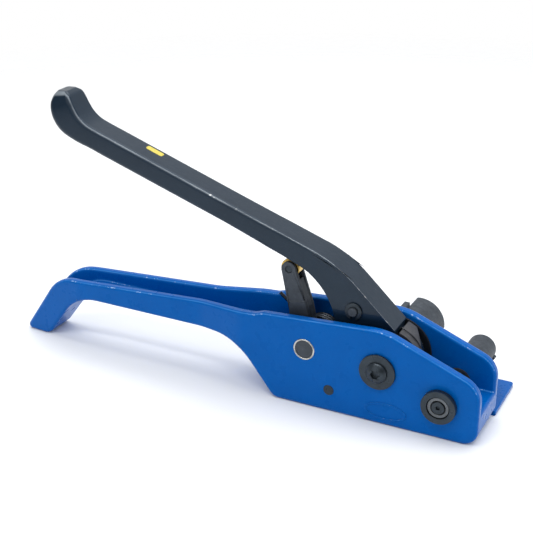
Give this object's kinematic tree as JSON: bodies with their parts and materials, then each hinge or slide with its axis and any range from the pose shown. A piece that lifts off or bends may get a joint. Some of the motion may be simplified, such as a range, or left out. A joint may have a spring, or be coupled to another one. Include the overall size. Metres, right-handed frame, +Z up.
{
  "type": "manual strapping tensioner",
  "caption": "Hand strapping tensioner with a U-shaped casting and foot, a long ratchet lever, a slotted windlass and an eccentric gripper over a strap table.",
  "frame": {"origin": "centre of the underside's resting face, straight below the windlass axis on the middle plane of the casting", "axes": "+X along the tool towards the nose, +Y across it towards the strap table, +Z up"},
  "size_m": [0.3459, 0.0907, 0.1848],
  "materials": {
    "blue_paint": "glossy blue powder coat",
    "lever_black": "satin black coating, glossy at the dipped knob end",
    "dark_steel": "black-oxide steel, matt",
    "brown_steel": "oiled brown-grey hardened steel",
    "black_oxide": "black-oxide hardware, satin",
    "bright_steel": "bright ground steel",
    "brass": "turned brass",
    "label_yellow": "glossy yellow sticker"
  },
  "bodies": {
    "frame": {"body": "blue_paint", "strap_table": "blue_paint", "side_emboss": "blue_paint", "anvil_block": "dark_steel", "anvil_screws": "bright_steel", "strap_guide_bar": "dark_steel", "windlass_bushing_near": "dark_steel", "windlass_bushing_far": "dark_steel", "gripper_bushing_near": "dark_steel", "gripper_bushing_far": "dark_steel", "pawl_pin": "dark_steel", "pawl_pin_ring_near": "bright_steel", "pawl_pin_ring_far": "bright_steel", "anchor_pin": "black_oxide", "hub_spacer_near": "dark_steel", "spring_sleeve": "dark_steel", "pawl_spring": "dark_steel", "gripper_spring": "bright_steel"},
    "windlass": {"windlass_drum": "dark_steel", "shaft_flange": "black_oxide", "ratchet_wheel": "brown_steel", "ratchet_key": "bright_steel", "windlass_washer": "black_oxide", "windlass_screw": "black_oxide", "drum_thrust_ring": "bright_steel"},
    "hand_lever": {"lever": "lever_black", "hub_plate_near": "brown_steel", "hub_plate_far": "lever_black", "wheel_guard": "brown_steel", "lever_label": "label_yellow", "drive_pin": "dark_steel", "drive_pin_clip_near": "black_oxide", "drive_pin_clip_far": "black_oxide", "drive_spring": "bright_steel"},
    "drive_pawl_body": {"drive_pawl": "dark_steel"},
    "release_lever": {"release_bracket": "dark_steel", "holding_pawl": "dark_steel", "roller_pin": "black_oxide"},
    "roller": {"brass_roller": "brass"},
    "gripper": {"gripper_shaft": "dark_steel", "gripper_collar": "black_oxide", "gripper_clip": "dark_steel", "gripper_screw": "black_oxide", "gripper_tab": "dark_steel"}
  },
  "joints": [
    {"name": "windlass_spin", "type": "hinge", "parent": "frame", "child": "windlass", "pos_m": [0, 0, 0.0374], "axis": [0, 1, 0], "continuous": true},
    {"name": "lever_swing", "type": "hinge", "parent": "frame", "child": "hand_lever", "pos_m": [0, 0, 0.0374], "axis": [0, 1, 0], "range_deg": [0, 100]},
    {"name": "drive_pawl_pivot", "type": "hinge", "parent": "hand_lever", "child": "drive_pawl_body", "pos_m": [-0.0219, 0, 0.0695], "axis": [0, 1, 0], "range_deg": [-10, 0], "stiffness_Nm_per_rad": 0.02},
    {"name": "release_pivot", "type": "hinge", "parent": "frame", "child": "release_lever", "pos_m": [-0.0508, 0, 0.0409], "axis": [0, 1, 0], "range_deg": [-15, 0], "stiffness_Nm_per_rad": 0.3, "springref_deg": 5.73},
    {"name": "roller_spin", "type": "hinge", "parent": "release_lever", "child": "roller", "pos_m": [-0.068, -0.003, 0.0885], "axis": [0, 1, 0], "continuous": true},
    {"name": "gripper_turn", "type": "hinge", "parent": "frame", "child": "gripper", "pos_m": [0.0414, 0, 0.0238], "axis": [0, 1, 0], "range_deg": [0, 110], "stiffness_Nm_per_rad": 0.3}
  ]
}
